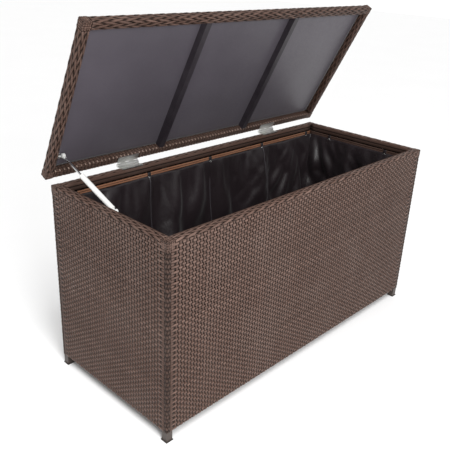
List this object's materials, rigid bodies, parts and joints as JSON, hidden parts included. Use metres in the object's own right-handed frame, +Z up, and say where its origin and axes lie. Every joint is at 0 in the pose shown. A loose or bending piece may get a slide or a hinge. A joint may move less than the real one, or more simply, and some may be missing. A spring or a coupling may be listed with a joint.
{
  "type": "deck storage box",
  "caption": "Rectangular wicker storage box on short legs, with a fabric liner and a hinged lid that a gas strut holds open.",
  "frame": {"origin": "on the floor, at the middle of the outline with the lid open", "axes": "+X along the length to the right seen from the front, +Y from the front to the hinge side, +Z up"},
  "size_m": [1.222, 0.5306, 1.0696],
  "materials": {
    "wicker": "dark brown flat plastic wicker, satin sheen with fine length-ways grain",
    "frame_tube": "dark brown powder-coated aluminium tube",
    "lid_bar": "near-black powder-coated aluminium tube",
    "zinc_steel": "bright zinc-plated steel",
    "strut_paint": "light silver-white painted steel",
    "strut_rod": "polished steel",
    "strut_fitting": "light grey moulded nylon",
    "glide": "dark brown moulded plastic",
    "liner": "black coated polyester cloth",
    "lining": "dark grey coated cloth with a soft sheen"
  },
  "bodies": {
    "box": {"back_bottom_rail": "frame_tube", "back_top_rail": "frame_tube", "back_weave": "wicker", "base_cross_bars": "frame_tube", "base_weave": "wicker", "bottom_rail_wraps": "wicker", "end_stiles": "frame_tube", "foot_glides": "glide", "frame_bolt_washers": "zinc_steel", "frame_bolts": "zinc_steel", "front_bottom_rail": "frame_tube", "front_top_rail": "frame_tube", "front_weave": "wicker", "hinge_left_body_leaf": "zinc_steel", "hinge_pins": "zinc_steel", "hinge_right_body_leaf": "zinc_steel", "hinge_screws_body": "zinc_steel", "left_bottom_rail": "frame_tube", "left_top_rail": "frame_tube", "left_weave": "wicker", "leg_back_left": "frame_tube", "leg_back_right": "frame_tube", "leg_front_left": "frame_tube", "leg_front_right": "frame_tube", "leg_wraps": "wicker", "liner_bag": "liner", "liner_ties": "liner", "right_bottom_rail": "frame_tube", "right_top_rail": "frame_tube", "right_weave": "wicker", "rim_wrap_back": "wicker", "rim_wrap_front": "wicker", "rim_wrap_left": "wicker", "rim_wrap_right": "wicker", "strut_body_bracket": "zinc_steel", "strut_lower_ball_stud": "strut_rod", "strut_screws_body": "zinc_steel", "threaded_inserts": "zinc_steel", "wall_uprights": "frame_tube"},
    "lid": {"hinge_left_lid_leaf": "zinc_steel", "hinge_right_lid_leaf": "zinc_steel", "hinge_screws_lid": "zinc_steel", "lid_back_rail": "frame_tube", "lid_cross_bars": "lid_bar", "lid_front_rail": "frame_tube", "lid_left_rail": "frame_tube", "lid_lining": "lining", "lid_rail_wraps": "wicker", "lid_right_rail": "frame_tube", "lid_weave": "wicker", "strut_lid_bracket": "zinc_steel", "strut_screws_lid": "zinc_steel"},
    "strut_cylinder": {"strut_lower_socket": "strut_fitting", "strut_cylinder": "strut_paint", "strut_rod_guide": "strut_fitting"},
    "strut_rod": {"strut_piston": "strut_fitting", "strut_piston_rod": "strut_rod", "strut_upper_socket": "strut_fitting", "strut_upper_ball_stud": "strut_rod"}
  },
  "joints": [
    {"name": "lid_hinge", "type": "hinge", "parent": "box", "child": "lid", "pos_m": [0, 0.23865, 0.606], "axis": [-1, 0, 0], "range_deg": [-64.32, 0]},
    {"name": "strut_swing", "type": "hinge", "parent": "box", "child": "strut_cylinder", "pos_m": [-0.562, -0.01535, 0.587], "axis": [1, 0, 0], "range_deg": [-10.11, 0]},
    {"name": "strut_slide", "type": "slide", "parent": "strut_cylinder", "child": "strut_rod", "axis": [0, 0.9303, 0.3667], "range_m": [-0.072, 0], "stiffness_N_per_m": 140, "springref_m": 0.72}
  ],
  "couplings": [
    {"joint": "strut_swing", "follows": "lid_hinge", "ratio": 0.15687},
    {"joint": "strut_slide", "follows": "lid_hinge", "m_per_rad": 0.064046}
  ]
}
